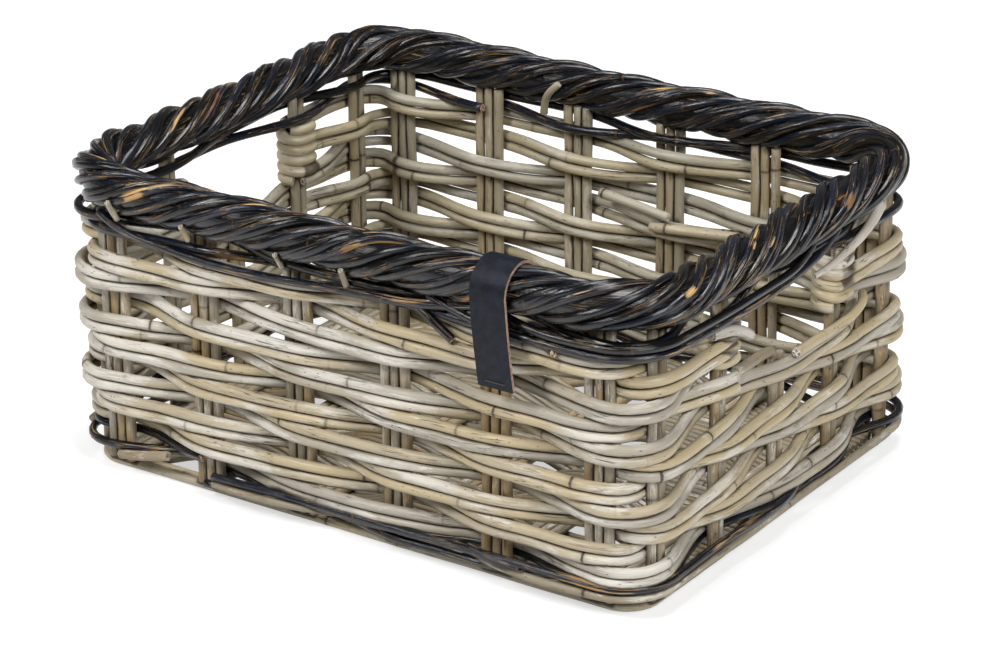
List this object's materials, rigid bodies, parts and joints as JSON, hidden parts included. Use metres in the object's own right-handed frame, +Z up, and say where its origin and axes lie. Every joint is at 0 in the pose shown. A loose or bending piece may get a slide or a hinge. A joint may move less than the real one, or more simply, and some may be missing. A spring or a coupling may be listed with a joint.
{
  "type": "bicycle basket",
  "caption": "Rectangular woven rattan bicycle basket with a rolled dark border, open handle holes in the short walls, a woven base and a leather tab folded over the front border.",
  "frame": {"origin": "centre of the overall box, on the surface that the basket rests on", "axes": "+X along the long walls to the right as seen from the front, +Y from the front wall with the leather tab to the back wall, +Z up"},
  "size_m": [0.467, 0.3666, 0.2149],
  "materials": {
    "rattan_natural": "weathered grey-beige rattan, matt",
    "rattan_stake": "weathered brown-grey rattan, matt",
    "rattan_dark": "blue-black lacquered rattan, semi-gloss, worn at the crests",
    "leather": "dark navy leather, fine grain",
    "thread": "waxed black thread"
  },
  "bodies": {
    "root": {"base_bar_1": "rattan_stake", "base_bar_2": "rattan_stake", "base_bar_3": "rattan_stake", "base_bar_4": "rattan_stake", "base_bar_5": "rattan_stake", "base_bar_6": "rattan_stake", "base_frame_rod": "rattan_natural", "base_strip_1": "rattan_natural", "base_strip_2": "rattan_natural", "base_strip_3": "rattan_natural", "base_strip_4": "rattan_natural", "base_strip_5": "rattan_natural", "base_wale_1": "rattan_dark", "base_wale_2": "rattan_dark", "edge_wrap_left_back": "rattan_natural", "edge_wrap_left_front": "rattan_natural", "edge_wrap_right_back": "rattan_natural", "edge_wrap_right_front": "rattan_natural", "leather_tab": "leather", "rim_border": "rattan_dark", "stake_back_1": "rattan_stake", "stake_back_2": "rattan_stake", "stake_back_3": "rattan_stake", "stake_back_4": "rattan_stake", "stake_back_5": "rattan_stake", "stake_back_6": "rattan_stake", "stake_front_1": "rattan_stake", "stake_front_2": "rattan_stake", "stake_front_3": "rattan_stake", "stake_front_4": "rattan_stake", "stake_front_5": "rattan_stake", "stake_front_6": "rattan_stake", "stake_left_1": "rattan_stake", "stake_left_2": "rattan_stake", "stake_left_3": "rattan_stake", "stake_left_4": "rattan_stake", "stake_left_5": "rattan_stake", "stake_right_1": "rattan_stake", "stake_right_2": "rattan_stake", "stake_right_3": "rattan_stake", "stake_right_4": "rattan_stake", "stake_right_5": "rattan_stake", "tab_seam": "thread", "top_wale_1": "rattan_dark", "top_wale_2": "rattan_dark", "weaver_back_1": "rattan_natural", "weaver_back_2": "rattan_natural", "weaver_back_3": "rattan_natural", "weaver_front_1": "rattan_natural", "weaver_front_2": "rattan_natural", "weaver_front_3": "rattan_natural", "weaver_round_1": "rattan_natural", "weaver_round_2": "rattan_natural", "weaver_round_3": "rattan_natural", "weaver_round_4": "rattan_natural", "weaver_round_5": "rattan_natural", "weaver_round_6": "rattan_natural", "weaver_round_7": "rattan_natural", "weaver_round_8": "rattan_natural"}
  },
  "joints": []
}
